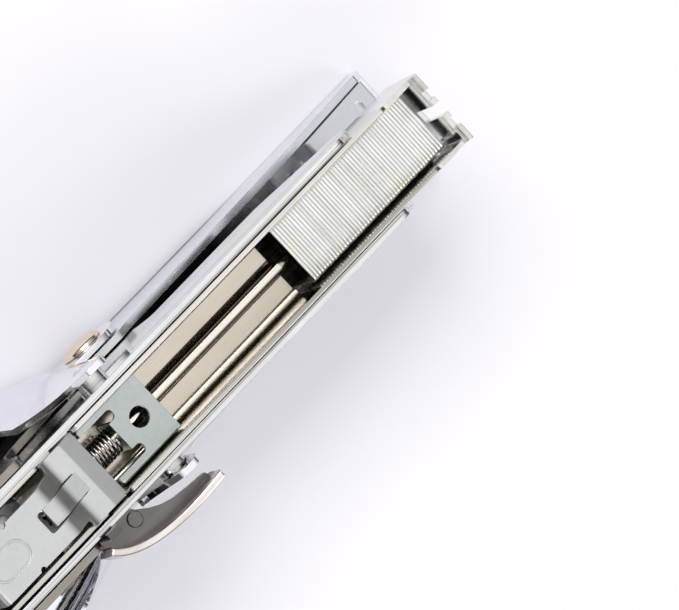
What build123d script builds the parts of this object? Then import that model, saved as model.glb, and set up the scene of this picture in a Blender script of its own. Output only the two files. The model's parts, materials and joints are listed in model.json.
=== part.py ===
from build123d import *
import os
from math import cos, radians, sin, tan

# A plier stapler for 24/6 staples, with its driver arm opened for loading. Millimetres.
# +X runs forward to the nose, +Y to the tool's left and +Z up.
# The origin is the middle of the lower jaw's flat underside, which the tool stands on.
# Stations are given from the staple strip: x from its front end, z from its crowns.
strip_x = 25.4
crown_z = 31.0

# Staples
staple_count = 51
staple_front = 0.9
staple_pitch = 0.7
staple_wire = 0.5
staple_half = 6.45
staple_leg = 6.3

# Half widths across the tool, from the inside out
magazine_half = 7.75
magazine_wall = 0.9
shell_half = 9.3
shell_wall = 1.3
strap_inner = 9.55
strap_outer = 10.95
flank_inner = 11.25
flank_outer = 12.45

# Pivots
rivet_x = -68.3
rivet_z = -21.5
rivet_radius = 3.0
pin_x = -124.0
pin_z = 3.0
pin_radius = 1.5
running_gap = 0.05
close_angle = 18.5
lift_angle = 3.0
cover_angle = 117.0

# Magazine heights
floor_top = -6.4
wall_top = 5.3
rail_top = -5.6
rod_z = -2.4
rod_radius = 1.1

# Release trigger
trigger_x = -89.5
trigger_y = -12.2
trigger_web_bottom = -1.6
trigger_web_thickness = 1.4


def at(x, z):
    """A point of the side view, from its station and height at the staple strip."""
    return (strip_x + x, crown_z + z)


def slab(outline, y_low, y_high, radii=0.0):
    """A flat blank: an outline of the side view, given a width across the tool."""
    with BuildPart() as blank:
        with BuildSketch(Plane.XZ.offset(-y_high)):
            with BuildLine():
                FilletPolyline(*[at(x, z) for x, z in outline], radius=radii, close=True)
            make_face()
        extrude(amount=y_high - y_low)
    return blank.part


def bent_strip(path, thickness, half_width, radii):
    """Sheet bent along a path of the side view, centred across the tool."""
    with BuildPart() as strip:
        with BuildSketch(Plane.XZ):
            with BuildLine():
                FilletPolyline(*[at(x, z) for x, z in path], radius=radii)
            trace(line_width=thickness)
        extrude(amount=half_width, both=True)
    return strip.part


def cross_rod(x, z, radius, y_low, y_high):
    """A round bar across the tool."""
    with BuildPart() as bar:
        with BuildSketch(Plane.XZ.offset(-y_high)):
            with Locations(at(x, z)):
                Circle(radius)
        extrude(amount=y_high - y_low)
    return bar.part


def block(x_low, x_high, y_low, y_high, z_low, z_high):
    """A square-edged block between two stations, widths and heights."""
    return slab([(x_low, z_low), (x_high, z_low), (x_high, z_high), (x_low, z_high)], y_low, y_high)


def wire(points, radius, corner=0.8):
    """A round wire bent through a few points."""
    with BuildPart() as rod:
        with BuildLine() as route:
            if len(points) > 2:
                FilletPolyline(*points, radius=corner)
            else:
                Line(*points)
        with BuildSketch(Plane(origin=route.line @ 0, z_dir=route.line % 0)):
            Circle(radius)
        sweep()
    return rod.part


def coil(start, direction, radius, wire_radius, pitch, height):
    """A close helical coil of round wire."""
    with BuildPart() as turns:
        with BuildLine() as route:
            Helix(pitch=pitch, height=height, radius=radius, center=start, direction=direction)
        with BuildSketch(Plane(origin=route.line @ 0, z_dir=route.line % 0)):
            Circle(wire_radius)
        sweep(is_frenet=True)
    return turns.part


# ---------------------------------------------------------------- fixed frame

shell_side = [
    (-11.2, 1.5), (-15.5, 5.0), (-131, 5.0), (-131, -9.4), (-78, -9.4), (-75.2, -13.0),
    (-75.2, -28.0), (-61.4, -28.0), (-61.4, -13.0), (-58.6, -9.4), (-31, -9.4), (-13, -1.2),
]
shell_radii = [1.6, 3, 3, 3, 2, 2, 6.4, 6.4, 2, 2, 4, 1.4]
lug_low, lug_high = -2.9, -1.7

with BuildPart() as frame_channel:
    add(slab(shell_side, shell_half - shell_wall, shell_half, shell_radii))
    mirror(about=Plane.XZ)
    add(block(-131, -32, -shell_half, shell_half, -9.4, -8.4))
    add(block(trigger_x - 4, trigger_x + 3, -14.0, -shell_half + 0.1, lug_low, lug_high))
    add(cross_rod(rivet_x, rivet_z, rivet_radius, -20, 20), mode=Mode.SUBTRACT)
    add(cross_rod(pin_x, pin_z, pin_radius, -20, 20), mode=Mode.SUBTRACT)
    with BuildSketch(Plane.XY.offset(crown_z + lug_low)):
        with Locations((strip_x + trigger_x, trigger_y)):
            Circle(1.2)
    extrude(amount=4, mode=Mode.SUBTRACT)

# Lower handle: a pressed trough, flat flanks in front that flare out to a wide palm behind.
sheet = 1.2
base_z = -crown_z
flank_top = 5.0
belly_rise = 4.6
# station, half width at the flank, half width of the palm, height where the flare starts, corner radius
handle_stations = [
    (-74.0, 12.45, 12.6, -25.5, 2.5),
    (-82.0, 12.45, 16.4, -19.0, 3.0),
    (-91.5, 12.9, 19.4, -10.0, 3.5),
    (-102.0, 15.5, 22.2, -7.0, 4.0),
    (-118.0, 18.5, 23.3, -7.0, 4.2),
    (-138.0, 19.0, 22.9, -7.0, 4.2),
    (-157.0, 17.5, 20.8, -7.0, 4.0),
    (-169.0, 14.0, 17.0, -7.0, 3.8),
    (-175.3, 9.5, 12.0, -7.0, 3.5),
]


def trough_section(x, flank, palm, flare, radius, inset):
    """The filled outline of the lower handle at one station, drawn in by the sheet's thickness."""
    side = [
        (palm - inset, crown_z + base_z + inset),
        (palm - inset, crown_z + base_z + belly_rise + inset),
        (flank - inset, crown_z + flare),
        (flank - inset, crown_z + flank_top + 1),
    ]
    with BuildSketch(Plane.YZ.offset(strip_x + x)) as section:
        with BuildLine():
            Polyline(*side, *[(-y, z) for y, z in reversed(side)], close=True)
        make_face()
        fillet(section.vertices().group_by(Axis.Y)[0], radius - 0.6 * inset)
    return section.sketch


spacer_x, spacer_z = -77.2, -2.6
hang_hole_x = -167.5
with BuildPart() as lower_handle:
    loft([trough_section(*station, 0) for station in handle_stations])
    loft([trough_section(*station, sheet) for station in handle_stations], mode=Mode.SUBTRACT)
    add(slab(
        [(-70, 29), (-70, 0), (-74.1, 0), (-74.1, 4.2), (-78.6, 4.2), (-93.5, -12), (-96.7, -17.5),
         (-99.9, -25.4), (-105.3, -25.8), (-163.3, -24.8), (-188.3, -24.8), (-188.3, 29)],
        -30, 30, [0, 0, 0, 2.0, 2.0, 6, 6, 3, 8, 20, 0, 0],
    ), mode=Mode.SUBTRACT)
    for side in (-1, 1):
        ear_y = sorted((side * flank_inner, side * flank_outer))
        add(slab([(-76.8, -14.6), (-76.8, -28.4), (-61.4, -28.4), (-61.4, -14.6)], *ear_y, [0, 1, 6.8, 6.8]))
    add(cross_rod(rivet_x, rivet_z, rivet_radius, -20, 20), mode=Mode.SUBTRACT)
    add(cross_rod(spacer_x, spacer_z, 1.8, -20, 20), mode=Mode.SUBTRACT)
    with BuildSketch(Plane.XY.offset(-1)):
        with Locations((strip_x + hang_hole_x, 0)):
            Circle(2.5)
    extrude(amount=4, mode=Mode.SUBTRACT)

with BuildPart() as pivot_rivet:
    add(cross_rod(rivet_x, rivet_z, rivet_radius, -flank_outer - 0.2, flank_outer + 0.2))
    for side in (-1, 1):
        head = (strip_x + rivet_x, side * flank_outer, crown_z + rivet_z)
        face = Plane(origin=head, x_dir=(1, 0, 0), z_dir=(0, side, 0))
        with BuildSketch(face.offset(0.02)):
            Circle(4.3)
        extrude(amount=0.5)
        with BuildSketch(face.offset(0.5)):
            Circle(4.2)
        extrude(amount=1.3, taper=38)
    fillet(pivot_rivet.edges().filter_by(GeomType.CIRCLE).group_by(Axis.Y)[0], 0.9)
    fillet(pivot_rivet.edges().filter_by(GeomType.CIRCLE).group_by(Axis.Y)[-1], 0.9)

spacer_half = shell_half - shell_wall - running_gap
with BuildPart() as pivot_spacer:
    add(cross_rod(rivet_x, rivet_z, 4.0, -spacer_half, spacer_half))
    add(cross_rod(rivet_x, rivet_z, rivet_radius + 0.01, -9, 9), mode=Mode.SUBTRACT)

with BuildPart() as handle_spacers:
    add(cross_rod(spacer_x, spacer_z, 1.79, shell_half + 0.01, flank_outer + 0.3))
    add(cross_rod(spacer_x, spacer_z, 2.8, shell_half + 0.01, flank_inner - 0.02))
    mirror(about=Plane.XZ)

with BuildPart() as hinge_pin:
    add(cross_rod(pin_x, pin_z, pin_radius - 0.01, -shell_half - 0.02, shell_half + 0.02))

with BuildPart() as trigger_pin:
    with BuildSketch(Plane.XY.offset(crown_z - 4.9)):
        with Locations((strip_x + trigger_x, trigger_y)):
            Circle(1.19)
    extrude(amount=5.1)
    with BuildSketch(Plane.XY.offset(crown_z - 0.15)):
        with Locations((strip_x + trigger_x, trigger_y)):
            Circle(1.5)
    extrude(amount=0.4)
    fillet(trigger_pin.edges().group_by(Axis.Z)[-1], 0.25)
    with BuildSketch(Plane.XY.offset(crown_z - 5.1)):
        with Locations((strip_x + trigger_x, trigger_y)):
            Circle(1.7)
    extrude(amount=0.4)

spring_radius = 4.95
spring_half = 4.4
spring_wire = 0.6
leg_x = -44.3
pivot_x, pivot_z = at(rivet_x, rivet_z)
with BuildPart() as return_spring:
    pivot_axis = Axis((pivot_x, 0, pivot_z), (0, 1, 0))
    turns = coil((pivot_x, -spring_half, pivot_z), (0, 1, 0), spring_radius, spring_wire,
                 spring_half / 3.25, 2 * spring_half)
    add(turns.rotate(pivot_axis, 180))
    for y, z, leg_z in [
        (spring_half, pivot_z + spring_radius, 20.6),
        (-spring_half, pivot_z - spring_radius, 2.1),
    ]:
        with Locations((pivot_x, y, z)):
            Sphere(spring_wire + 0.08)
        add(wire([(pivot_x, y, z), (strip_x + leg_x, y, leg_z)], spring_wire))

# ---------------------------------------------------------------- anvil lever

strap_side = [
    (9.2, -31), (9.2, -27.6), (7.4, -26.0), (-12.6, -21.2), (-61.0, -15.4), (-64, -14.2), (-74.5, -14.2),
    (-94.4, -8.6), (-98, -6.2), (-98, 5.0), (-121, 5.2), (-131, 6.0), (-139, 7.2), (-147.5, 10.4),
    (-147.5, 2.5), (-128.3, -8.5), (-98.3, -18.5), (-74.5, -27.4), (-62, -28.7), (-60.5, -31),
]
strap_radii = [2, 1, 1, 8, 3, 4, 5, 3, 3, 2.4, 20, 30, 30, 2, 3, 20, 40, 5, 1, 1]

strap_rivets = [(-133.9, -0.8), (-139.3, 1.2)]
with BuildPart() as jaw_lever:
    add(slab(strap_side, strap_inner, strap_outer, strap_radii))
    mirror(about=Plane.XZ)
    add(block(-60.0, 9.2, -strap_outer, strap_outer, -31, -29.8))
    add(block(8.0, 9.2, -strap_outer, strap_outer, -31, -27.8))
    add(cross_rod(rivet_x, rivet_z, rivet_radius + running_gap, -20, 20), mode=Mode.SUBTRACT)
    for x, z in strap_rivets:
        add(cross_rod(x, z, 1.6, -20, 20), mode=Mode.SUBTRACT)

# The anvil's face lies parallel to the magazine's underside when the jaw is closed.
anvil_slope = close_angle - lift_angle
anvil_x, anvil_z = 3.24, -24.35
anvil_half = 9.3


def on_anvil(x):
    return anvil_z - (x - anvil_x) * tan(radians(anvil_slope))


anvil_face = Plane(
    origin=(strip_x + anvil_x, 0, crown_z + anvil_z),
    x_dir=(cos(radians(anvil_slope)), 0, -sin(radians(anvil_slope))),
    z_dir=(sin(radians(anvil_slope)), 0, cos(radians(anvil_slope))),
)
with BuildPart() as anvil_plate:
    add(slab(
        [(7.9, -29.8), (7.9, on_anvil(7.9)), (-11, on_anvil(-11)),
         (-11, -28.5), (-17.5, -28.5), (-17.5, -29.8)],
        -anvil_half, anvil_half, [0, 0.8, 0.8, 1.2, 0.8, 0],
    ))
    add(slab(
        [(6.7, -31), (6.7, on_anvil(6.7) - 1.4), (-9.8, on_anvil(-9.8) - 1.4), (-9.8, -31)],
        -anvil_half + 1.2, anvil_half - 1.2, [0, 1, 1, 0],
    ), mode=Mode.SUBTRACT)
    with BuildSketch(anvil_face):
        with Locations((0.3, 5.1), (0.3, -5.1)):
            SlotOverall(4.6, 2.3, rotation=90)
    extrude(amount=-0.55, mode=Mode.SUBTRACT)
    with BuildSketch(Plane.XY.offset(0)):
        with Locations((strip_x - 14.3, 4.6), (strip_x - 14.3, -4.6)):
            Circle(1.25)
    extrude(amount=3, mode=Mode.SUBTRACT)

with BuildPart() as anvil_rivets:
    with BuildSketch(Plane.XY.offset(1.2)):
        with Locations((strip_x - 14.3, 4.6), (strip_x - 14.3, -4.6)):
            Circle(1.24)
    extrude(amount=1.4)
    with BuildSketch(Plane.XY.offset(2.5)):
        with Locations((strip_x - 14.3, 4.6), (strip_x - 14.3, -4.6)):
            Circle(2.1)
    extrude(amount=0.8, taper=25)

# Upper handle: a pressed cap over the lever's straps, open underneath.
# station, half width, height of the back
grip_stations = [
    (-124.0, 12.7, 6.4), (-136.0, 12.7, 9.8), (-146.0, 13.6, 14.4), (-155.0, 16.2, 19.8),
    (-164.0, 17.6, 25.0), (-171.5, 16.0, 29.0), (-176.0, 12.6, 31.2),
]
cap_depth = 22.0


def cap_section(x, half, back, inset):
    """The filled outline of the upper handle at one station."""
    half_in = half - inset
    top = crown_z + back - inset
    with BuildSketch(Plane.YZ.offset(strip_x + x)) as section:
        with BuildLine():
            Polyline(
                (-half_in, top - cap_depth), (-half_in, top),
                (half_in, top), (half_in, top - cap_depth), close=True,
            )
        make_face()
        fillet(section.vertices().group_by(Axis.Y)[-1], 4.2 - 0.8 * inset)
    return section.sketch


web_front = -138.7
with BuildPart() as upper_handle:
    loft([cap_section(*station, 0) for station in grip_stations])
    loft([cap_section(*station, sheet) for station in grip_stations], mode=Mode.SUBTRACT)
    add(slab(
        [(-118, -31), (-118, 29), (-126.8, 29), (-126.8, 2), (-128.8, -4.8), (-140.3, -1.5), (-152.3, 5.5),
         (-162.3, 13.5), (-180, 22.5), (-180, -31)],
        -30, 30, [0, 0, 0, 3, 3, 12, 20, 20, 0, 0],
    ), mode=Mode.SUBTRACT)
    with BuildSketch(Plane.XY.offset(crown_z - 11)):
        with BuildLine():
            FilletPolyline(
                (strip_x - 108, -strap_outer - 0.15), (strip_x + web_front, -strap_outer - 0.15),
                (strip_x + web_front, strap_outer + 0.15), (strip_x - 108, strap_outer + 0.15),
                radius=[0, 3, 3, 0], close=True,
            )
        make_face()
    extrude(amount=50, mode=Mode.SUBTRACT)
    for x, z in strap_rivets:
        add(cross_rod(x, z, 1.6, -20, 20), mode=Mode.SUBTRACT)

with BuildPart() as handle_rivets:
    for x, z in strap_rivets:
        add(cross_rod(x, z, 1.59, strap_inner - 0.1, 13.7))
        add(cross_rod(x, z, 2.4, 13.08, 13.8))
        add(cross_rod(x, z, 2.3, strap_inner - 0.75, strap_inner - 0.02))
    mirror(about=Plane.XZ)

# ---------------------------------------------------------------- magazine

magazine_side = [
    (-5, -7.6), (-5, wall_top), (-87.8, wall_top), (-88.2, 2.2), (-92.4, 2.2), (-93.4, 3.5), (-119, 3.5),
    (-120.4, 6.6),
    (-127.6, 6.6), (-127.6, -0.6), (-121, -7.6),
]

with BuildPart() as magazine_channel:
    add(slab(
        magazine_side, magazine_half - magazine_wall, magazine_half,
        [0, 0.8, 1, 0.4, 0.4, 0.4, 0.6, 2.4, 3.5, 3.5, 3],
    ))
    mirror(about=Plane.XZ)
    add(block(-119, -5, -magazine_half, magazine_half, -7.6, floor_top))
    add(block(-5.1, -0.3, -magazine_half + magazine_wall, magazine_half - magazine_wall, -7.6, floor_top))
    add(cross_rod(pin_x, pin_z, pin_radius + running_gap, -20, 20), mode=Mode.SUBTRACT)

with BuildPart() as nose_guide:
    add(block(2.2, 3.2, -magazine_half, magazine_half, -7.6, 5.4))
    for side in (-1, 1):
        tab_y = sorted((side * 4.3, side * magazine_half))
        lap_y = sorted((side * (magazine_half - magazine_wall), side * magazine_half))
        step_y = sorted((side * 1.25, side * 2.4))
        add(slab(
            [(2.5, -3), (3.9, -1.6), (3.9, 5.8), (3.3, 6.9), (2.5, 6.3)], *tab_y, [0.3, 0.8, 0.5, 0.3, 0.3],
        ))
        add(slab([(-5, -7.6), (2.3, -7.6), (2.3, 5.2), (-4.2, 5.8), (-5, 5.8)], *lap_y))
        add(block(2.2, 3.5, *step_y, 3.0, 5.9))
    add(block(1.9, 5, -1.25, 1.25, -2.5, 8), mode=Mode.SUBTRACT)

with BuildPart() as staple_rail:
    add(block(-101.6, -37, -6.7, 6.7, floor_top, rail_top))
    for side in (-1, 1):
        with BuildSketch(Plane.YZ.offset(strip_x - 101.6)):
            with Locations((side * 5.85, crown_z + rail_top + 0.1)):
                Circle(0.85)
        extrude(amount=101.6 - 37)
    add(block(-98, -36, -1.9, 1.9, -7, -5), mode=Mode.SUBTRACT)
    add(block(-110, -30, -8, 8, -8, floor_top), mode=Mode.SUBTRACT)

rod_tip = -34.7
with BuildPart() as guide_rod:
    with BuildSketch(Plane.YZ.offset(strip_x - 107)):
        with Locations((0, crown_z + rod_z)):
            Circle(rod_radius)
    extrude(amount=107 + rod_tip)
    chamfer(guide_rod.edges().filter_by(GeomType.CIRCLE).sort_by(Axis.X)[-1], length=2.7, length2=0.75)

with BuildPart() as rod_bracket:
    add(block(-103.2, -101.9, -5.3, 5.3, floor_top, 1.6))
    add(block(-108.2, -103.1, -5.3, 5.3, floor_top, -5.2))
    with BuildSketch(Plane.YZ.offset(strip_x - 110)):
        with Locations((0, crown_z + rod_z)):
            Circle(rod_radius)
    extrude(amount=20, mode=Mode.SUBTRACT)
    with BuildSketch(Plane.XY.offset(crown_z - 10)):
        with Locations((strip_x - 106, 3.2), (strip_x - 106, -3.2)):
            Circle(0.9)
    extrude(amount=10, mode=Mode.SUBTRACT)

with BuildPart() as bracket_rivets:
    with BuildSketch(Plane.XY.offset(crown_z + floor_top)):
        with Locations((strip_x - 106, 3.2), (strip_x - 106, -3.2)):
            Circle(0.89)
    extrude(amount=1.3)
    with BuildSketch(Plane.XY.offset(crown_z - 5.19)):
        with Locations((strip_x - 106, 3.2), (strip_x - 106, -3.2)):
            Circle(1.7)
    extrude(amount=0.7, taper=20)

plate_path = [(-88.4, 2.9), (-91.8, 4.1), (-96.0, 4.1), (-101.2, 8.5), (-118.6, 8.5), (-118.6, -6.3)]
tongue_path = [(-92.9, 4.1), (-96.6, 4.9), (-99.8, 6.9), (-102.6, 7.0)]
plate_thickness = 0.9
with BuildPart() as rear_plate:
    add(bent_strip(plate_path, plate_thickness, 7.3, [0.8, 3.2, 3.6, 1.2]))
    with BuildSketch(Plane.XY.offset(crown_z - 10)):
        for side in (-1, 1):
            with BuildLine():
                FilletPolyline(
                    (strip_x - 97.0, side * 9), (strip_x - 97.0, side * 5.5), (strip_x - 102.5, side * 5.3),
                    (strip_x - 121, side * 5.3), (strip_x - 121, side * 9),
                    radius=[0, 1, 4, 0, 0], close=True,
                )
            make_face()
        with Locations((strip_x - 110.1, 5.3), (strip_x - 110.1, -5.3)):
            Circle(0.6)
        with Locations((strip_x - 98.9, 0)):
            RectangleRounded(11.4, 4.4, 0.6)
    extrude(amount=25, mode=Mode.SUBTRACT)
    with BuildSketch(Plane.XY.offset(crown_z + 8.7)):
        with Locations((strip_x - 113.4, 0)):
            SlotOverall(8.6, 5.4)
            SlotOverall(7.7, 4.5, mode=Mode.SUBTRACT)
    extrude(amount=1, mode=Mode.SUBTRACT)
    add(bent_strip(tongue_path, plate_thickness, 2.0, [4, 4]))

strip_back = staple_front - staple_count * staple_pitch
leg_inner = staple_half - staple_wire
with BuildPart() as staple_strip:
    add(block(strip_back, staple_front, -staple_half, staple_half, -staple_leg, 0))
    add(block(strip_back, staple_front, -leg_inner, leg_inner, -staple_leg, -staple_wire), mode=Mode.SUBTRACT)
    fillet(
        staple_strip.edges().filter_by(Axis.X).group_by(Axis.Z)[-1], 0.45,
    )
    with BuildSketch(Plane.XZ):
        with Locations([at(staple_front - staple_pitch * number, 0.02) for number in range(1, staple_count)]):
            RegularPolygon(radius=0.13, side_count=4, rotation=0)
    extrude(amount=staple_half, both=True, mode=Mode.SUBTRACT)

# ---------------------------------------------------------------- follower

follower_front, follower_back = -72.1, -87.4
follower_half = 6.6
with BuildPart() as follower:
    add(block(follower_back, follower_front, -follower_half, follower_half, 0.7, 1.5))
    fillet(follower.edges().filter_by(Axis.Z).group_by(Axis.X)[0], 1.0)
    for side in (-1, 1):
        flange_y = sorted((side * (follower_half - 0.8), side * follower_half))
        add(block(follower_back + 1, follower_front, *flange_y, -3.2, 1.5))
    fillet(follower.edges().filter_by(Axis.X).group_by(Axis.Z)[-1], 0.7)
    add(block(follower_front - 0.8, follower_front, -6.4, 6.4, -3.6, 1.4))
    add(block(follower_front - 0.8, follower_front, -4.5, 4.5, -5.2, -3.5))
    add(block(-87.6, -81.5, -5.0, 5.0, -1, 3), mode=Mode.SUBTRACT)
    for side in (-1, 1):
        slot_y = sorted((side * 3.0, side * 5.0))
        add(block(-82, -79.5, *slot_y, -1, 3), mode=Mode.SUBTRACT)
    fillet(follower.edges().filter_by(Axis.Z).filter_by_position(Axis.X, strip_x - 79.6, strip_x - 79.4), 0.9)
    add(block(-81.5, -80.7, -3.0, 3.0, -5.2, 1.4))
    with BuildSketch(Plane.YZ.offset(strip_x - 90)):
        with Locations((0, crown_z + rod_z)):
            Circle(rod_radius + 0.1)
    extrude(amount=20, mode=Mode.SUBTRACT)
    with BuildSketch(Plane.XY.offset(crown_z)):
        with Locations((strip_x - 76.5, 0)):
            Circle(1.95)
    extrude(amount=4, mode=Mode.SUBTRACT)

coil_radius = 2.55
with BuildPart() as follower_spring:
    add(coil((strip_x - 101.5, 0, crown_z + rod_z), (1, 0, 0), coil_radius, 0.3, 0.85, 19.6))

# ---------------------------------------------------------------- release trigger

web_low = crown_z + trigger_web_bottom
with BuildPart() as release_trigger:
    with BuildSketch(Plane.XY.offset(web_low)):
        with BuildLine():
            Polyline(
                *[(strip_x + x, y) for x, y in (
                    (-97.4, -9.7), (-89.2, -9.7), (-88.3, -11.0), (-86.2, -12.6), (-84.2, -13.7),
                    (-81.5, -14.6), (-77.8, -15.1), (-74.4, -15.4), (-73.6, -17.0), (-80.8, -17.3),
                    (-87.6, -16.9), (-91.3, -16.0), (-96.0, -13.9), (-97.8, -12.2),
                )],
                close=True,
            )
        make_face()
    extrude(amount=trigger_web_thickness)
    with BuildSketch(Plane.XY.offset(web_low)):
        with BuildLine():
            Spline(*[(strip_x + x, y) for x, y in (
                (-98.0, -12.4), (-96.0, -14.2), (-91.3, -16.3),
                (-86.4, -17.2), (-80.8, -17.5), (-73.2, -17.1),
            )])
        trace(line_width=1.7)
    extrude(amount=6.0)
    fillet(release_trigger.faces().sort_by(Axis.Z)[-1].edges(), 0.6)
    add(block(-97.3, -94.6, -10.7, -9.75, -1.5, 7.2))
    add(block(-97.3, -94.6, -10.0, -9.25, 6.3, 7.2))
    with BuildSketch(Plane.XY.offset(crown_z - 3)):
        with Locations((strip_x + trigger_x, trigger_y)):
            Circle(1.19 + running_gap)
    extrude(amount=5, mode=Mode.SUBTRACT)

with BuildPart() as trigger_spring:
    add(coil((strip_x + trigger_x, trigger_y, crown_z - 4.45), (0, 0, 1), 1.5, 0.2, 0.5, 1.2))

# ---------------------------------------------------------------- driver arm, built closed and then opened

roof_path = [(-112, 10.9), (-96, 11.6), (-60, 14.6), (-20, 15.4), (5.6, 15.5), (5.6, 7.6)]
roof_sheet = 1.0
cover_outer = 9.1
cover_inner = 8.2
arm_outer = 6.65
arm_inner = 5.75
side_wall = [
    (-99.5, 11.5), (-96, 11.6), (-60, 14.6), (-20, 15.4), (5.6, 15.5), (5.6, 2.4), (-11, 2.4),
    (-14.5, 5.7), (-99.5, 5.7),
]
arm_side = [
    (-127.7, -0.7), (-119.6, -0.7), (-99.8, 5.2), (-98.0, 7.3), (-98.0, 11.7), (-112, 11.0), (-127.7, 6.7),
]

with BuildPart() as cover_closed:
    add(bent_strip(roof_path, roof_sheet, cover_outer, [6, 20, 20, 2.2]))
    add(block(-113, -99.5, arm_outer, 12, 5, 14), mode=Mode.SUBTRACT)
    add(block(-113, -99.5, -12, -arm_outer, 5, 14), mode=Mode.SUBTRACT)
    for side in (-1, 1):
        wall_y = sorted((side * cover_inner, side * cover_outer))
        arm_y = sorted((side * arm_inner, side * arm_outer))
        joggle_y = sorted((side * arm_inner, side * cover_outer))
        add(slab(side_wall, *wall_y, [1, 20, 20, 20, 2.2, 1.5, 1.5, 1.5, 1]))
        add(slab(arm_side, *arm_y, [3.6, 6, 2, 1, 0, 8, 3.6]))
        add(block(-99.5, -98.6, *joggle_y, 6.9, 11.8))
    add(cross_rod(pin_x, pin_z, pin_radius + running_gap, -20, 20), mode=Mode.SUBTRACT)
    with BuildSketch(Plane.XY.offset(crown_z + 10)):
        with Locations((strip_x - 6, 3.2), (strip_x - 6, -3.2), (strip_x - 57, 0)):
            Circle(1.0)
    extrude(amount=10, mode=Mode.SUBTRACT)

with BuildPart() as blade_closed:
    add(slab(
        [(1.25, 0.6), (1.7, 0.6), (1.7, 14.9), (-9, 14.9), (-9, 14.2), (1.25, 14.2)], -5.2, 5.2,
        [0, 0, 0.9, 0.3, 0.3, 0],
    ))
    add(block(1.25, 1.7, -6.2, 6.2, 0.6, 12))
    with BuildSketch(Plane.XY.offset(crown_z + 13)):
        with Locations((strip_x - 6, 3.2), (strip_x - 6, -3.2)):
            Circle(1.0)
    extrude(amount=3, mode=Mode.SUBTRACT)

with BuildPart() as blade_rivets_closed:
    with BuildSketch(Plane.XY.offset(crown_z + 13.5)):
        with Locations((strip_x - 6, 3.2), (strip_x - 6, -3.2)):
            Circle(0.99)
    extrude(amount=2.9)
    with BuildSketch(Plane.XY.offset(crown_z + 16.0)):
        with Locations((strip_x - 6, 3.2), (strip_x - 6, -3.2)):
            Circle(1.9)
    extrude(amount=0.8, taper=25)
    with BuildSketch(Plane.XY.offset(crown_z + 13.4)):
        with Locations((strip_x - 6, 3.2), (strip_x - 6, -3.2)):
            Circle(1.7)
    extrude(amount=0.75)

leaf_path = [(-62, 13.55), (-52, 13.75), (-36, 10.0), (-21, 9.2), (-16.5, 10.6)]
with BuildPart() as leaf_closed:
    add(bent_strip(leaf_path, 0.45, 3.0, [8, 14, 6]))
    with BuildSketch(Plane.XY.offset(crown_z + 10)):
        with Locations((strip_x - 57, 0)):
            Circle(1.0)
    extrude(amount=10, mode=Mode.SUBTRACT)

with BuildPart() as leaf_rivet_closed:
    with BuildSketch(Plane.XY.offset(crown_z + 12.6)):
        with Locations((strip_x - 57, 0)):
            Circle(0.99)
    extrude(amount=3.5)
    with BuildSketch(Plane.XY.offset(crown_z + 15.4)):
        with Locations((strip_x - 57, 0)):
            Circle(1.9)
    extrude(amount=0.8, taper=25)
    with BuildSketch(Plane.XY.offset(crown_z + 12.5)):
        with Locations((strip_x - 57, 0)):
            Circle(1.7)
    extrude(amount=0.75)

hinge_axis = Axis((strip_x + pin_x, 0, crown_z + pin_z), (0, -1, 0))


def opened(piece):
    """The driver arm's pieces, swung up and back about the hinge pin."""
    return piece.rotate(hinge_axis, cover_angle)


# ---------------------------------------------------------------- output

pieces = {
    "frame_channel": frame_channel.part,
    "lower_handle": lower_handle.part,
    "pivot_rivet": pivot_rivet.part,
    "pivot_spacer": pivot_spacer.part,
    "handle_spacers": handle_spacers.part,
    "hinge_pin": hinge_pin.part,
    "trigger_pin": trigger_pin.part,
    "trigger_spring": trigger_spring.part,
    "return_spring": return_spring.part,
    "jaw_lever": jaw_lever.part,
    "anvil_plate": anvil_plate.part,
    "anvil_rivets": anvil_rivets.part,
    "upper_handle": upper_handle.part,
    "upper_handle_rivets": handle_rivets.part,
    "magazine_channel": magazine_channel.part,
    "nose_guide": nose_guide.part,
    "staple_rail": staple_rail.part,
    "guide_rod": guide_rod.part,
    "rod_bracket": rod_bracket.part,
    "bracket_rivets": bracket_rivets.part,
    "rear_plate": rear_plate.part,
    "staple_strip": staple_strip.part,
    "follower": follower.part,
    "follower_spring": follower_spring.part,
    "release_trigger": release_trigger.part,
    "driver_cover": opened(cover_closed.part),
    "driver_blade": opened(blade_closed.part),
    "blade_rivets": opened(blade_rivets_closed.part),
    "cover_leaf_spring": opened(leaf_closed.part),
    "leaf_rivet": opened(leaf_rivet_closed.part),
}

os.makedirs("parts", exist_ok=True)
for name, piece in pieces.items():
    piece.label = name
    export_step(piece, f"parts/{name}.step")
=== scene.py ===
import json
import math
import random
from typing import NamedTuple

import bpy
from mathutils import Matrix, Vector


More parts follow.
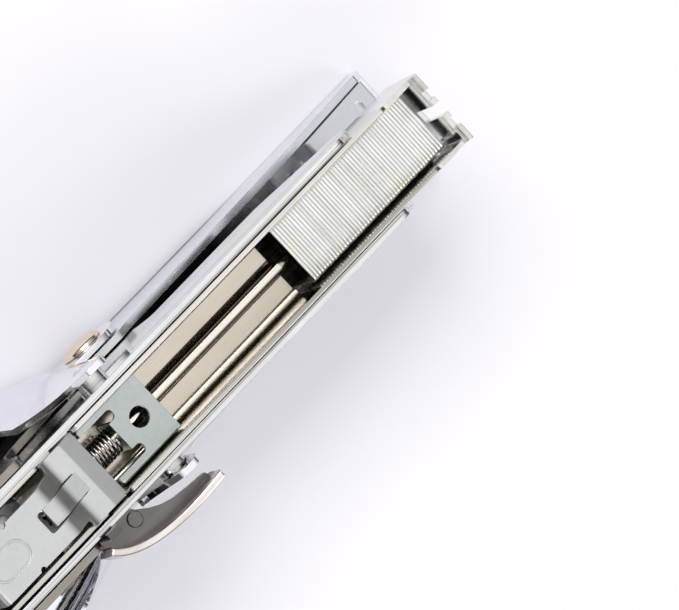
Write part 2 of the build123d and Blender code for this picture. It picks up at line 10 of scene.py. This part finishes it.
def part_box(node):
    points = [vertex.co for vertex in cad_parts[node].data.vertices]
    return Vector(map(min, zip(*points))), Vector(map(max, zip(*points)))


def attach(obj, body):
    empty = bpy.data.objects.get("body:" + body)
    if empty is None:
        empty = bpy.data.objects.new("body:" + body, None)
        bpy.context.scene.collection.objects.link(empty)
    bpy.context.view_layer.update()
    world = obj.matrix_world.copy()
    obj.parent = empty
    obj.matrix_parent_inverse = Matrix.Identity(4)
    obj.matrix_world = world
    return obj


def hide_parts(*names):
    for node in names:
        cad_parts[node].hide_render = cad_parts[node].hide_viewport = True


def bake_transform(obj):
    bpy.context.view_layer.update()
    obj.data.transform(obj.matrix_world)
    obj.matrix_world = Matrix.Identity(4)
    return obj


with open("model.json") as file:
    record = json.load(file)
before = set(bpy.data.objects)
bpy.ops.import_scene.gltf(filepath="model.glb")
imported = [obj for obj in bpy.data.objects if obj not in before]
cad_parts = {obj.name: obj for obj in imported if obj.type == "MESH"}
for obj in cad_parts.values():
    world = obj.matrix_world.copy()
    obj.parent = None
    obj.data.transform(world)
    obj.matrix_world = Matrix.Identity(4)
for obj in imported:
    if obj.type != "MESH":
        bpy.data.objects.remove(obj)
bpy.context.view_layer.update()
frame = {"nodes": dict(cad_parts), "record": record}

# Lengths are in millimetres. A station, side and height are told from a point of the frame near the
# staple strip's front, at the height of its crown.
MM = 0.001
STRIP_X = 25.4
CROWN_Z = 31.0


def at(x, y, z):
    """A point of the frame, in metres, from its station, side and height."""
    return Vector((STRIP_X + x, y, CROWN_Z + z)) * MM


# ---------------------------------------------------------------- materials

EVEN = (1, 1, 1)
DRAWN_OUT = 0.05
NOISE_ROUGHNESS = 0.55


def drawn(axis):
    """The stretch of a grain that runs along an axis."""
    return tuple(DRAWN_OUT if name == axis else 1.0 for name in "XYZ")


class Pattern(NamedTuple):
    """A noise that is 0 below its low value and comes up to its strength at its high one."""

    scale: float
    detail: float
    low: float
    high: float
    strength: float = 1.0
    stretch: tuple = EVEN
    roughness: float = NOISE_ROUGHNESS


SMUDGES = Pattern(scale=170.0, detail=5.0, low=0.52, high=0.74, roughness=0.65)
SCRATCHES = Pattern(scale=1100.0, detail=2.0, low=0.64, high=0.72, stretch=(0.03, 1.0, 1.0), roughness=0.8)
FINE_LINES = Pattern(
    scale=2600.0, detail=2.0, low=0.53, high=0.62, strength=0.7, stretch=(0.003, 1.0, 1.0), roughness=0.6,
)
BROAD_LINES = Pattern(
    scale=520.0, detail=3.0, low=0.52, high=0.66, strength=0.55, stretch=(0.004, 1.0, 1.0), roughness=0.7,
)
STAINS = Pattern(scale=140.0, detail=3.0, low=0.5, high=0.72, strength=0.55)
MOTTLE = Pattern(scale=9.0, detail=2.0, low=0.3, high=0.7)

# The colour sockets of a mix node.
MIX_FIRST, MIX_SECOND, MIX_RESULT = 6, 7, 2

# How far a softened normal turns from the true one, as their dot product, off an edge and on it.
OFF_EDGE, ON_EDGE = 0.985, 0.80
EDGE_RADIUS, EDGE_SAMPLES = 0.14, 4


class Finish:
    """A node material under construction."""

    def __init__(self, name, turn=0.0):
        self.material = bpy.data.materials.new(name)
        self.material.use_nodes = True
        self.tree = self.material.node_tree
        self.tree.nodes.clear()
        self.shader = self.node("ShaderNodeBsdfPrincipled")
        output = self.node("ShaderNodeOutputMaterial")
        self.link(self.shader.outputs["BSDF"], output.inputs["Surface"])
        place = self.node("ShaderNodeTexCoord")
        self.place = place.outputs["Object"]
        if turn:
            turned = self.node("ShaderNodeVectorRotate")
            turned.rotation_type = "Y_AXIS"
            turned.inputs["Angle"].default_value = math.radians(turn)
            self.link(self.place, turned.inputs["Vector"])
            self.place = turned.outputs["Vector"]

    def node(self, kind):
        return self.tree.nodes.new(kind)

    def link(self, source, target):
        self.tree.links.new(source, target)

    def feed(self, socket, value):
        """Gives a socket its value: a number, a colour or another node's output."""
        if isinstance(value, bpy.types.NodeSocket):
            self.link(value, socket)
        elif isinstance(value, tuple):
            socket.default_value = (*value, 1.0)
        else:
            socket.default_value = value

    def noise(self, scale, detail, stretch=EVEN, roughness=NOISE_ROUGHNESS):
        """Noise in the object's own space, drawn out along chosen axes."""
        mapping = self.node("ShaderNodeMapping")
        mapping.inputs["Scale"].default_value = stretch
        self.link(self.place, mapping.inputs["Vector"])
        noise = self.node("ShaderNodeTexNoise")
        noise.inputs["Scale"].default_value = scale
        noise.inputs["Detail"].default_value = detail
        noise.inputs["Roughness"].default_value = roughness
        self.link(mapping.outputs["Vector"], noise.inputs["Vector"])
        return noise.outputs["Fac"]

    def remap(self, value, low, high, to_low=0.0, to_high=1.0):
        """A value moved from one range to another and held inside it."""
        node = self.node("ShaderNodeMapRange")
        ends = {"From Min": low, "From Max": high, "To Min": to_low, "To Max": to_high}
        for socket, number in ends.items():
            node.inputs[socket].default_value = number
        self.link(value, node.inputs["Value"])
        return node.outputs["Result"]

    def pattern(self, kind):
        """The value of a pattern."""
        noise = self.noise(kind.scale, kind.detail, kind.stretch, kind.roughness)
        return self.remap(noise, kind.low, kind.high, to_high=kind.strength)

    def mix(self, factor, first, second):
        """Two colours mixed by a value."""
        node = self.node("ShaderNodeMix")
        node.data_type = "RGBA"
        self.feed(node.inputs["Factor"], factor)
        self.feed(node.inputs[MIX_FIRST], first)
        self.feed(node.inputs[MIX_SECOND], second)
        return node.outputs[MIX_RESULT]

    def math(self, operation, first, second):
        """Two values put together by an operation."""
        node = self.node("ShaderNodeMath")
        node.operation = operation
        self.feed(node.inputs[0], first)
        self.feed(node.inputs[1], second)
        return node.outputs[0]

    def along(self, axis, start, end):
        """0 before the start and 1 after the end, in millimetres along one axis."""
        split = self.node("ShaderNodeSeparateXYZ")
        self.link(self.place, split.inputs[0])
        return self.remap(split.outputs[axis], start * MM, end * MM)

    def edges(self):
        """The normal of softened edges, and a mask that is 1 along them."""
        bevel = self.node("ShaderNodeBevel")
        bevel.samples = EDGE_SAMPLES
        bevel.inputs["Radius"].default_value = EDGE_RADIUS * MM
        shape = self.node("ShaderNodeNewGeometry")
        dot = self.node("ShaderNodeVectorMath")
        dot.operation = "DOT_PRODUCT"
        self.link(bevel.outputs["Normal"], dot.inputs[0])
        self.link(shape.outputs["Normal"], dot.inputs[1])
        return bevel.outputs["Normal"], self.remap(dot.outputs["Value"], OFF_EDGE, ON_EDGE)


CLOUD_SCALE, CLOUD_DETAIL = 60.0, 4.0
GRAIN_DETAIL, GRAIN_ROUGHNESS = 5.0, 0.7
# The stretches of the clouds' and the grain's values that turn the light tone into the dark one.
CLOUD_TONES, GRAIN_TONES = (0.3, 0.7), (0.3, 0.75)
CLOUD_DULLNESS = (0.3, 0.75)
# Grain between these values carries the wear of an edge, from its least share to all of it.
WORN_GRAIN, LEAST_WEAR = (0.35, 0.65), 0.25
WORN_WHITE = 0.35
MARK_DULLNESS, MARK_DEPTH = 0.10, -0.6


def metal(name, light, dark, rough, grain, scale, depth, wear=0.5,
          painted_light_layers=(), lines=None, tint=None, turn=0.0):
    """Plated or drawn metal: clouded tone, grain, fine scratches, dull marks and bright worn edges.

    Each painted-light layer is a pair of tones, standing in for light, shade or reflection, that
    takes over past its stretches. Lines are painted reflections: thin and broader dark bands of one
    colour along X. Tint is a faint stain in patches, and turn is how far the pattern is turned about Y,
    in degrees. Scale is the grain's, and depth is its height in millimetres.
    """
    finish = Finish(name, turn)
    clouds = finish.noise(CLOUD_SCALE, CLOUD_DETAIL)
    streaks = finish.noise(scale, GRAIN_DETAIL, grain, GRAIN_ROUGHNESS)
    smudges = finish.pattern(SMUDGES)
    marks = finish.pattern(SCRATCHES)
    clouded = finish.remap(clouds, *CLOUD_TONES, to_high=0.5)
    streaked = finish.remap(streaks, *GRAIN_TONES, to_high=0.5)
    tone = finish.math("ADD", clouded, streaked)
    colour = finish.mix(tone, light, dark)
    # Painted light, shade and reflection laid over the part's tone, each past its stretches.
    for stretches, tones in painted_light_layers:
        share = 1.0
        for axis, start, end in stretches:
            share = finish.math("MULTIPLY", finish.along(axis, start, end), share)
        colour = finish.mix(share, colour, finish.mix(tone, *tones))
    # Painted reflections: thin and broader dark lines along X.
    if lines:
        both = finish.math("MAXIMUM", finish.pattern(FINE_LINES), finish.pattern(BROAD_LINES))
        colour = finish.mix(both, colour, lines)
    if tint:
        colour = finish.mix(finish.pattern(STAINS), colour, tint)

    soft, rim = finish.edges()
    worn = finish.math("MULTIPLY", rim, finish.remap(streaks, *WORN_GRAIN, LEAST_WEAR * wear, wear))
    bright = tuple(WORN_WHITE + (1.0 - WORN_WHITE) * part for part in light)
    finish.link(finish.mix(worn, colour, bright), finish.shader.inputs["Base Color"])
    finish.shader.inputs["Metallic"].default_value = 1.0

    scratched = finish.math("MULTIPLY", marks, MARK_DULLNESS * wear)
    smudged = finish.math("MULTIPLY", smudges, MARK_DULLNESS * wear)
    dull = finish.math("ADD", scratched, smudged)
    base = finish.remap(clouds, *CLOUD_DULLNESS, *rough)
    finish.link(finish.math("ADD", base, dull), finish.shader.inputs["Roughness"])

    bump = finish.node("ShaderNodeBump")
    bump.inputs["Strength"].default_value = 1.0
    bump.inputs["Distance"].default_value = depth * MM
    height = finish.math("ADD", streaks, finish.math("MULTIPLY", marks, MARK_DEPTH * wear))
    finish.link(height, bump.inputs["Height"])
    finish.link(soft, bump.inputs["Normal"])
    finish.link(bump.outputs["Normal"], finish.shader.inputs["Normal"])
    return finish.material


CHROME = {"light": (0.86, 0.86, 0.85), "dark": (0.62, 0.61, 0.59)}
# Dark tones painted as a reflection on the trigger's web and pin.
PAINTED_DARK_REFLECTION = {"light": (0.20, 0.19, 0.18), "dark": (0.10, 0.09, 0.09), "rough": (0.10, 0.22)}
# The colour of painted reflections of dark lines on the chrome.
PAINTED_LINE_REFLECTION = (0.24, 0.225, 0.20)

FINISHES = {
    "shell_chrome": dict(
        **CHROME, rough=(0.06, 0.16), grain=drawn("X"), scale=500.0, depth=0.004, lines=PAINTED_LINE_REFLECTION,
    ),
    "handle_chrome": dict(
        light=(0.88, 0.89, 0.92), dark=(0.78, 0.79, 0.84), rough=(0.03, 0.09),
        grain=EVEN, scale=90.0, depth=0.002, wear=0.25,
    ),
    # Painted reflections: the web is painted dark and the upright at its outer side is painted light.
    "trigger_chrome": dict(
        **PAINTED_DARK_REFLECTION, grain=drawn("X"), scale=500.0, depth=0.003,
        painted_light_layers=[(
            [("Z", CROWN_Z + 0.4, CROWN_Z + 4.2), ("Y", -11.6, -12.2)],
            ((0.90, 0.87, 0.84), (0.62, 0.54, 0.49)),
        )],
    ),
    # Painted reflections and shade: dull taupe behind and painted bright in front, with a floor painted dark
    # as shade in the middle.
    "lever_steel": dict(
        light=(0.40, 0.37, 0.33), dark=(0.24, 0.22, 0.19), rough=(0.14, 0.26),
        grain=drawn("X"), scale=700.0, depth=0.004, wear=0.8,
        painted_light_layers=[
            ([("X", STRIP_X - 92, STRIP_X - 62)], ((0.86, 0.88, 0.91), (0.68, 0.70, 0.74))),
            (
                [("Z", 2.6, 1.4), ("X", STRIP_X - 22, STRIP_X - 34)],
                ((0.05, 0.048, 0.045), (0.03, 0.03, 0.03)),
            ),
        ],
    ),
    "rivet_copper": dict(
        light=(0.86, 0.76, 0.64), dark=(0.70, 0.58, 0.45), rough=(0.10, 0.22),
        grain=EVEN, scale=300.0, depth=0.003,
    ),
    "plain_steel": dict(
        light=(0.72, 0.71, 0.69), dark=(0.52, 0.51, 0.49), rough=(0.10, 0.24),
        grain=drawn("X"), scale=500.0, depth=0.005,
    ),
    "spring_wire": dict(
        light=(0.50, 0.48, 0.46), dark=(0.30, 0.28, 0.27), rough=(0.12, 0.26),
        grain=EVEN, scale=800.0, depth=0.004,
    ),
    "zinc_plate": dict(
        light=(0.62, 0.635, 0.62), dark=(0.52, 0.54, 0.525), rough=(0.26, 0.40),
        grain=EVEN, scale=900.0, depth=0.006, wear=0.7,
    ),
    # Painted highlight: the top of the rail's bead is painted bright.
    "nickel_rail": dict(
        light=(0.66, 0.60, 0.51), dark=(0.54, 0.48, 0.39), rough=(0.14, 0.26),
        grain=drawn("X"), scale=600.0, depth=0.003, wear=0.8,
        painted_light_layers=[([("Z", CROWN_Z - 5.4, CROWN_Z - 5.0)], ((1.0, 0.95, 0.84), (0.72, 0.64, 0.52)))],
    ),
    "staple_wire": dict(
        light=(0.97, 0.97, 0.955), dark=(0.60, 0.60, 0.57), rough=(0.18, 0.34),
        grain=(1.0, 0.015, 0.015), scale=1300.0, depth=0.004, tint=(0.86, 0.82, 0.66),
    ),
    "follower_zinc": dict(
        light=(0.50, 0.53, 0.51), dark=(0.40, 0.43, 0.41), rough=(0.22, 0.36),
        grain=EVEN, scale=900.0, depth=0.006, wear=0.7,
    ),
}
MATERIALS = {name: metal(name, **finish) for name, finish in FINISHES.items()}

# Nodes with a finish of their own, in place of their slot's.
OWN_FINISH = {
    # Painted reflection and highlight: dark below and painted bright along its top.
    "guide_rod": metal(
        "rod_steel", light=(0.30, 0.27, 0.23), dark=(0.20, 0.18, 0.15), rough=(0.08, 0.16),
        grain=drawn("X"), scale=700.0, depth=0.001, wear=0.3,
        painted_light_layers=[([("Z", CROWN_Z - 1.7, CROWN_Z - 1.32)], ((0.95, 0.90, 0.82), (0.70, 0.65, 0.57)))],
    ),
    # Painted shade: dark at its floor and light towards the tops of its walls.
    "magazine_channel": metal(
        "channel_chrome", light=(0.07, 0.062, 0.052), dark=(0.04, 0.035, 0.03), rough=(0.06, 0.16),
        grain=drawn("X"), scale=500.0, depth=0.002, lines=PAINTED_LINE_REFLECTION,
        painted_light_layers=[([("Z", CROWN_Z - 6.0, CROWN_Z - 2.0)], ((0.86, 0.84, 0.80), (0.60, 0.57, 0.52)))],
    ),
    # The pin is painted dark like the web, as a painted reflection.
    "trigger_pin": metal("pin_painted_reflection", **PAINTED_DARK_REFLECTION, grain=EVEN, scale=500.0, depth=0.003),
    "anvil_plate": metal(
        "anvil_chrome", light=(0.90, 0.92, 0.95), dark=(0.78, 0.81, 0.85), rough=(0.26, 0.42),
        grain=EVEN, scale=500.0, depth=0.003,
    ),
    "nose_guide": metal(
        "nose_chrome", light=(0.84, 0.83, 0.80), dark=(0.56, 0.54, 0.50), rough=(0.07, 0.18),
        grain=drawn("Z"), scale=400.0, depth=0.003,
    ),
    # Turned by as much as the cover is open, so that its lines run along it.
    "driver_cover": metal(
        "cover_chrome", **CHROME, rough=(0.05, 0.13), grain=drawn("X"), scale=500.0, depth=0.003, turn=117.0,
    ),
}

slot_of = {part["node"]: part["material_slot"] for part in frame["record"]["subparts"]}
for node, obj in frame["nodes"].items():
    for place in obj.material_slots:
        place.material = OWN_FINISH.get(node, MATERIALS[slot_of[node]])


# ---------------------------------------------------------------- pieces

def piece(name, verts, faces, slot, body):
    """A smooth mesh piece with its finish, riding on a body where it is given one."""
    mesh = bpy.data.meshes.new(name)
    mesh.from_pydata([tuple(v) for v in verts], [], faces)
    mesh.materials.append(MATERIALS[slot])
    mesh.polygons.foreach_set("use_smooth", [True] * len(mesh.polygons))
    mesh.validate()
    obj = bpy.data.objects.new(name, mesh)
    bpy.context.scene.collection.objects.link(obj)
    if body:
        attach(obj, body)
    return obj


def bands(rings, sides, start=0):
    """The faces between each ring of points and the next, from the point numbered start."""
    faces = []
    for ring in range(rings - 1):
        low = start + ring * sides
        high = low + sides
        for side in range(sides):
            beside = (side + 1) % sides
            faces.append((low + side, low + beside, high + beside, high + side))
    return faces


CAP_RISE = 0.5


def tube(path, radius, sides):
    """Points and faces of a round wire along a path, with an end cap that rises half its radius."""
    verts = []
    normal = None
    count = len(path)
    for index, point in enumerate(path):
        ahead = (path[min(index + 1, count - 1)] - path[max(index - 1, 0)]).normalized()
        if normal is None:
            normal = ahead.orthogonal().normalized()
        normal = (normal - ahead * normal.dot(ahead)).normalized()
        across = ahead.cross(normal)
        for side in range(sides):
            angle = 2 * math.pi * side / sides
            verts.append(point + (normal * math.cos(angle) + across * math.sin(angle)) * radius)
    faces = bands(count, sides)
    for first, tip, before in ((0, path[0], path[1]), ((count - 1) * sides, path[-1], path[-2])):
        top = len(verts)
        verts.append(tip + (tip - before).normalized() * radius * CAP_RISE)
        for side in range(sides):
            here, beside = first + side, first + (side + 1) % sides
            faces.append((here, beside, top) if first else (beside, here, top))
    return verts, faces


def lathe(profile, centre_x, centre_z, sides=48):
    """Points and faces turned about an axis along Y, from radii and places along the axis."""
    verts = []
    for radius, y in profile:
        for side in range(sides):
            angle = 2 * math.pi * side / sides
            verts.append(at(centre_x + radius * math.cos(angle), y, centre_z + radius * math.sin(angle)))
    faces = [(a, d, c, b) for a, b, c, d in bands(len(profile), sides)]
    faces.append(tuple(range(sides)))
    faces.append(tuple(reversed(range(len(verts) - sides, len(verts)))))
    return verts, faces


# The staples: flattened wires bent into shape one by one, glued side by side.
STAPLE_COUNT, STAPLE_PITCH, STAPLE_FRONT = 51, 0.7, 0.9
STAPLE_HALF, STAPLE_LEG, STAPLE_WIRE = 6.45, 6.3, 0.5
WIRE_HALF, WIRE_CORNER, WIRE_BEND = 0.33, 0.10, 0.55
LEG_HEIGHTS = (0.05 - STAPLE_LEG, -4.0, -1.6)
CROWN_HALF = 2.0
BEND_STEPS, CORNER_STEPS = 4, 2
# How far a staple may sink, slide sideways and lean out of line.
DROP, SLIDE, LEAN = (-0.06, -0.005), (-0.035, 0.035), (-0.012, 0.012)
LEAN_SHARE = 0.2
# The shares of the wire's width and of the staple's that are drawn, so that neighbours keep clear.
CLEAR_X, CLEAR_Y = 0.985, 0.995


def staple_profile():
    """The wire's section: flat on its faces and round at its corners, along X and outward."""
    wide, high = WIRE_HALF - WIRE_CORNER, STAPLE_WIRE / 2 - WIRE_CORNER
    corners = ((wide, high, 0), (-wide, high, 90), (-wide, -high, 180), (wide, -high, 270))
    points = []
    for centre_x, centre_out, start in corners:
        for step in range(CORNER_STEPS + 1):
            angle = math.radians(start + 90 * step / CORNER_STEPS)
            x, out = centre_x + WIRE_CORNER * math.cos(angle), centre_out + WIRE_CORNER * math.sin(angle)
            points.append((x, out))
    return points


def staple_bend(centre_y, start):
    """The wire's middle line round one shoulder of the staple, with the way out at each step."""
    centre_z = -STAPLE_WIRE / 2 - WIRE_BEND
    route = []
    for step in range(BEND_STEPS + 1):
        angle = math.radians(start - 90 * step / BEND_STEPS)
        out_y, out_z = math.cos(angle), math.sin(angle)
        route.append(((centre_y + WIRE_BEND * out_y, centre_z + WIRE_BEND * out_z), (out_y, out_z)))
    return route


def staple_route():
    """The wire's middle line from one point of the staple to the other, with the way out at each step."""
    half, top = STAPLE_HALF - STAPLE_WIRE / 2, -STAPLE_WIRE / 2
    up = [((-half, z), (-1, 0)) for z in LEG_HEIGHTS]
    crown = [((-CROWN_HALF, top), (0, 1)), ((CROWN_HALF, top), (0, 1))]
    down = [((half, z), (1, 0)) for z in reversed(LEG_HEIGHTS)]
    return up + staple_bend(WIRE_BEND - half, 180) + crown + staple_bend(half - WIRE_BEND, 90) + down


def staple_strip():
    """Every staple of the strip, each a hair out of line with the next."""
    chance = random.Random(24)
    profile, route = staple_profile(), staple_route()
    sides = len(profile)
    verts, faces = [], []
    for number in range(STAPLE_COUNT):
        x = STAPLE_FRONT - STAPLE_PITCH * (number + 0.5)
        drop, slide, lean = chance.uniform(*DROP), chance.uniform(*SLIDE), chance.uniform(*LEAN)
        start = len(verts)
        for (y, z), (out_y, out_z) in route:
            leaning, sliding = lean * z * LEAN_SHARE, y * CLEAR_Y + slide
            for along, out in profile:
                verts.append(at(x + along * CLEAR_X + leaning, sliding + out * out_y, z + out * out_z + drop))
        faces += bands(len(route), sides, start)
        faces.append(tuple(range(start, start + sides)))
        faces.append(tuple(reversed(range(len(verts) - sides, len(verts)))))
    return verts, faces


staples = piece("staples", *staple_strip(), "staple_wire", "magazine")
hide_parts("staple_strip")

# The follower's spring, close wound while the follower is held back.
COIL_RADIUS, COIL_WIRE, COIL_INSET = 2.52, 0.29, 0.45
COIL_TURNS, COIL_STEPS = 23, 20
COIL_UNEVEN, COIL_WAVES = 0.012, 3
ROD_Z = -2.4
coil_low, coil_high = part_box("follower_spring")
coil_start, coil_end = coil_low[0] / MM + COIL_INSET, coil_high[0] / MM - COIL_INSET
coil_path = []
for step in range(COIL_TURNS * COIL_STEPS + 1):
    share = step / (COIL_TURNS * COIL_STEPS)
    angle = 2 * math.pi * step / COIL_STEPS
    uneven = COIL_UNEVEN * math.sin(2 * math.pi * share * COIL_WAVES) * math.sin(math.pi * share)
    x = coil_start + (coil_end - coil_start) * (share + uneven)
    y, z = COIL_RADIUS * math.sin(angle), CROWN_Z + ROD_Z + COIL_RADIUS * math.cos(angle)
    coil_path.append(Vector((x, y, z)) * MM)
follower_coil = piece("follower_coil", *tube(coil_path, COIL_WIRE * MM, 8), "spring_wire", None)
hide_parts("follower_spring")
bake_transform(follower_coil)

# The return spring about the main rivet: its upper leg bears on the frame and its lower leg on the jaw.
RIVET_X, RIVET_Z = -68.3, -21.5
RETURN_RADIUS, RETURN_HALF, RETURN_WIRE = 4.95, 4.4, 0.58
RETURN_TURNS, RETURN_STEPS = 6.5, 24
LEG_X, LOWER_END_Z, UPPER_END_Z = -44.4, 2.1 - CROWN_Z, 20.6 - CROWN_Z


def spring_leg(side, coil_z, end_z, shares):
    """Points of a straight leg, as shares of the way from the coil to the leg's end."""
    return [
        at(RIVET_X + (LEG_X - RIVET_X) * share, side, coil_z + (end_z - coil_z) * share) for share in shares
    ]


LEG_SHARES = (0.2, 0.6, 1.0)
coil_steps = int(RETURN_TURNS * RETURN_STEPS)
return_path = spring_leg(-RETURN_HALF, RIVET_Z - RETURN_RADIUS, LOWER_END_Z, reversed(LEG_SHARES))
for step in range(coil_steps + 1):
    angle = -math.pi / 2 - 2 * math.pi * step / RETURN_STEPS
    y = -RETURN_HALF + 2 * RETURN_HALF * step / coil_steps
    x, z = RIVET_X + RETURN_RADIUS * math.cos(angle), RIVET_Z + RETURN_RADIUS * math.sin(angle)
    return_path.append(at(x, y, z))
return_path += spring_leg(RETURN_HALF, RIVET_Z + RETURN_RADIUS, UPPER_END_Z, LEG_SHARES)
return_coil = piece("return_coil", *tube(return_path, RETURN_WIRE * MM, 10), "spring_wire", None)
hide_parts("return_spring")
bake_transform(return_coil)

# The main rivet: a shank between two smooth domes, each with a fine step where it meets the flank.
FLANK_OUTER, SHANK_RADIUS = 12.47, 2.98
HEAD_RADIUS, HEAD_RISE = 4.25, 1.72
DOME_RADIUS, DOME_FOOT, DOME_STEPS = HEAD_RADIUS - 0.12, 0.33, 12
DOME_TIP = 0.02
# One head, as radii and heights over the flank.
head = [(SHANK_RADIUS, 0.0), (HEAD_RADIUS - 0.1, 0.0), (HEAD_RADIUS, 0.08), (HEAD_RADIUS, 0.25)]
head.append((DOME_RADIUS, DOME_FOOT))
for step in range(1, DOME_STEPS + 1):
    angle = math.radians(90 * step / DOME_STEPS)
    rise = DOME_FOOT + (HEAD_RISE - DOME_FOOT) * math.sin(angle)
    head.append((DOME_RADIUS * math.cos(angle) + DOME_TIP, rise))
left_head = [(radius, FLANK_OUTER + rise) for radius, rise in head]
right_head = [(radius, -y) for radius, y in reversed(left_head)]
rivet = piece("main_rivet", *lathe(right_head + left_head, RIVET_X, RIVET_Z), "rivet_copper", "frame")
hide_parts("pivot_rivet")

# The palm's rolled rim, carried round the open end of the handle.
RIM_RADIUS, RIM_PROUD = 0.85, 0.1
rim_stations = [
    (-101.5, 21.9, -25.3), (-105.0, 22.4, -25.6), (-110.0, 22.7, -25.6), (-118.0, 23.1, -25.5),
    (-128.0, 23.1, -25.4), (-138.0, 22.8, -25.3), (-148.0, 22.0, -25.1), (-157.0, 20.75, -25.0),
    (-163.0, 19.1, -24.95), (-169.0, 16.95, -25.0), (-173.0, 14.1, -25.2), (-174.9, 12.4, -25.8),
    (-174.9, 11.9, -27.2), (-174.9, 10.9, -29.2), (-174.9, 9.2, -30.1), (-174.9, 5.0, -30.14),
]
rim_side = [at(x, y - RIM_RADIUS + RIM_PROUD, z) for x, y, z in rim_stations]
rim_path = rim_side + [Vector((p.x, -p.y, p.z)) for p in reversed(rim_side)]
rim = piece("palm_rim", *tube(rim_path, RIM_RADIUS * MM, 14), "handle_chrome", "frame")


# ---------------------------------------------------------------- floor, light and camera

FLOOR_HALF, FLOOR_GAP = 3.0, 0.0002


def stage_floor(material):
    """The pale floor the tool stands on."""
    half = FLOOR_HALF
    corners = [(-half, -half, 0), (half, -half, 0), (half, half, 0), (-half, half, 0)]
    mesh = bpy.data.meshes.new("floor")
    mesh.from_pydata(corners, [], [(0, 1, 2, 3)])
    mesh.materials.append(material)
    floor = bpy.data.objects.new("floor", mesh)
    floor.location.z = -FLOOR_GAP
    bpy.context.scene.collection.objects.link(floor)


paper = Finish("paper")
paper_tone = paper.mix(paper.pattern(MOTTLE), (0.81, 0.795, 0.835), (0.795, 0.78, 0.825))
paper.link(paper_tone, paper.shader.inputs["Base Color"])
paper.shader.inputs["Roughness"].default_value = 0.8
stage_floor(paper.material)

LIGHT_AIM = Vector((0.0, 0.0, 0.03))


def softbox(name, place, size, power):
    """A soft rectangular light aimed at the tool."""
    data = bpy.data.lights.new(name, "AREA")
    data.shape = "RECTANGLE"
    data.size, data.size_y = size
    data.energy = power
    light = bpy.data.objects.new(name, data)
    light.location = place
    light.rotation_euler = (LIGHT_AIM - Vector(place)).to_track_quat("-Z", "Y").to_euler()
    bpy.context.scene.collection.objects.link(light)


softbox("key", (-0.1, 0.9, 1.25), (1.0, 0.7), 10)
softbox("fill", (-1.2, -0.7, 0.9), (0.7, 0.5), 5)
softbox("side", (0.8, -1.2, 0.9), (0.8, 0.5), 5)

# The studio around the tool, dark at the horizon and bright overhead.
SKY_STRENGTH = 0.92
SKY = [
    (0.0, (0.05, 0.045, 0.045)),
    (0.25, (0.13, 0.12, 0.12)),
    (0.55, (0.70, 0.69, 0.70)),
    (0.8, (1.10, 1.10, 1.12)),
    (1.0, (1.25, 1.25, 1.28)),
]
world = bpy.data.worlds.new("studio")
bpy.context.scene.world = world
world.use_nodes = True
sky = world.node_tree
sky.nodes.clear()
background = sky.nodes.new("ShaderNodeBackground")
surroundings = sky.nodes.new("ShaderNodeOutputWorld")
where = sky.nodes.new("ShaderNodeTexCoord")
split = sky.nodes.new("ShaderNodeSeparateXYZ")
ramp = sky.nodes.new("ShaderNodeValToRGB")
sky.links.new(background.outputs[0], surroundings.inputs[0])
sky.links.new(where.outputs["Generated"], split.inputs[0])
sky.links.new(split.outputs["Z"], ramp.inputs["Fac"])
stops = ramp.color_ramp.elements
while len(stops) < len(SKY):
    stops.new(0.5)
for stop, (position, colour) in zip(stops, SKY):
    stop.position = position
    stop.color = (*colour, 1)
sky.links.new(ramp.outputs["Color"], background.inputs["Color"])
background.inputs["Strength"].default_value = SKY_STRENGTH

bpy.context.scene.view_settings.view_transform = "Standard"

# The camera looks down on the magazine from above and a little behind, from the tool's left.
CAMERA_DISTANCE, CAMERA_LENS, CAMERA_SENSOR, CAMERA_REACH = 0.9, 268, 36, 20
look = Vector((0.336, -0.163, -0.928)).normalized()
right = Vector((0.649, -0.674, 0.353))
right = (right - look * right.dot(look)).normalized()
up = right.cross(look)
aim = Vector((-9.3, -12.3, 31.0)) * MM
camera_data = bpy.data.cameras.new("camera")
camera_data.lens = CAMERA_LENS
camera_data.sensor_width = CAMERA_SENSOR
camera_data.clip_end = CAMERA_REACH
camera = bpy.data.objects.new("camera", camera_data)
turn = Matrix((right, up, -look)).transposed().to_4x4()
camera.matrix_world = Matrix.Translation(aim - look * CAMERA_DISTANCE) @ turn
bpy.context.scene.collection.objects.link(camera)
bpy.context.scene.camera = camera
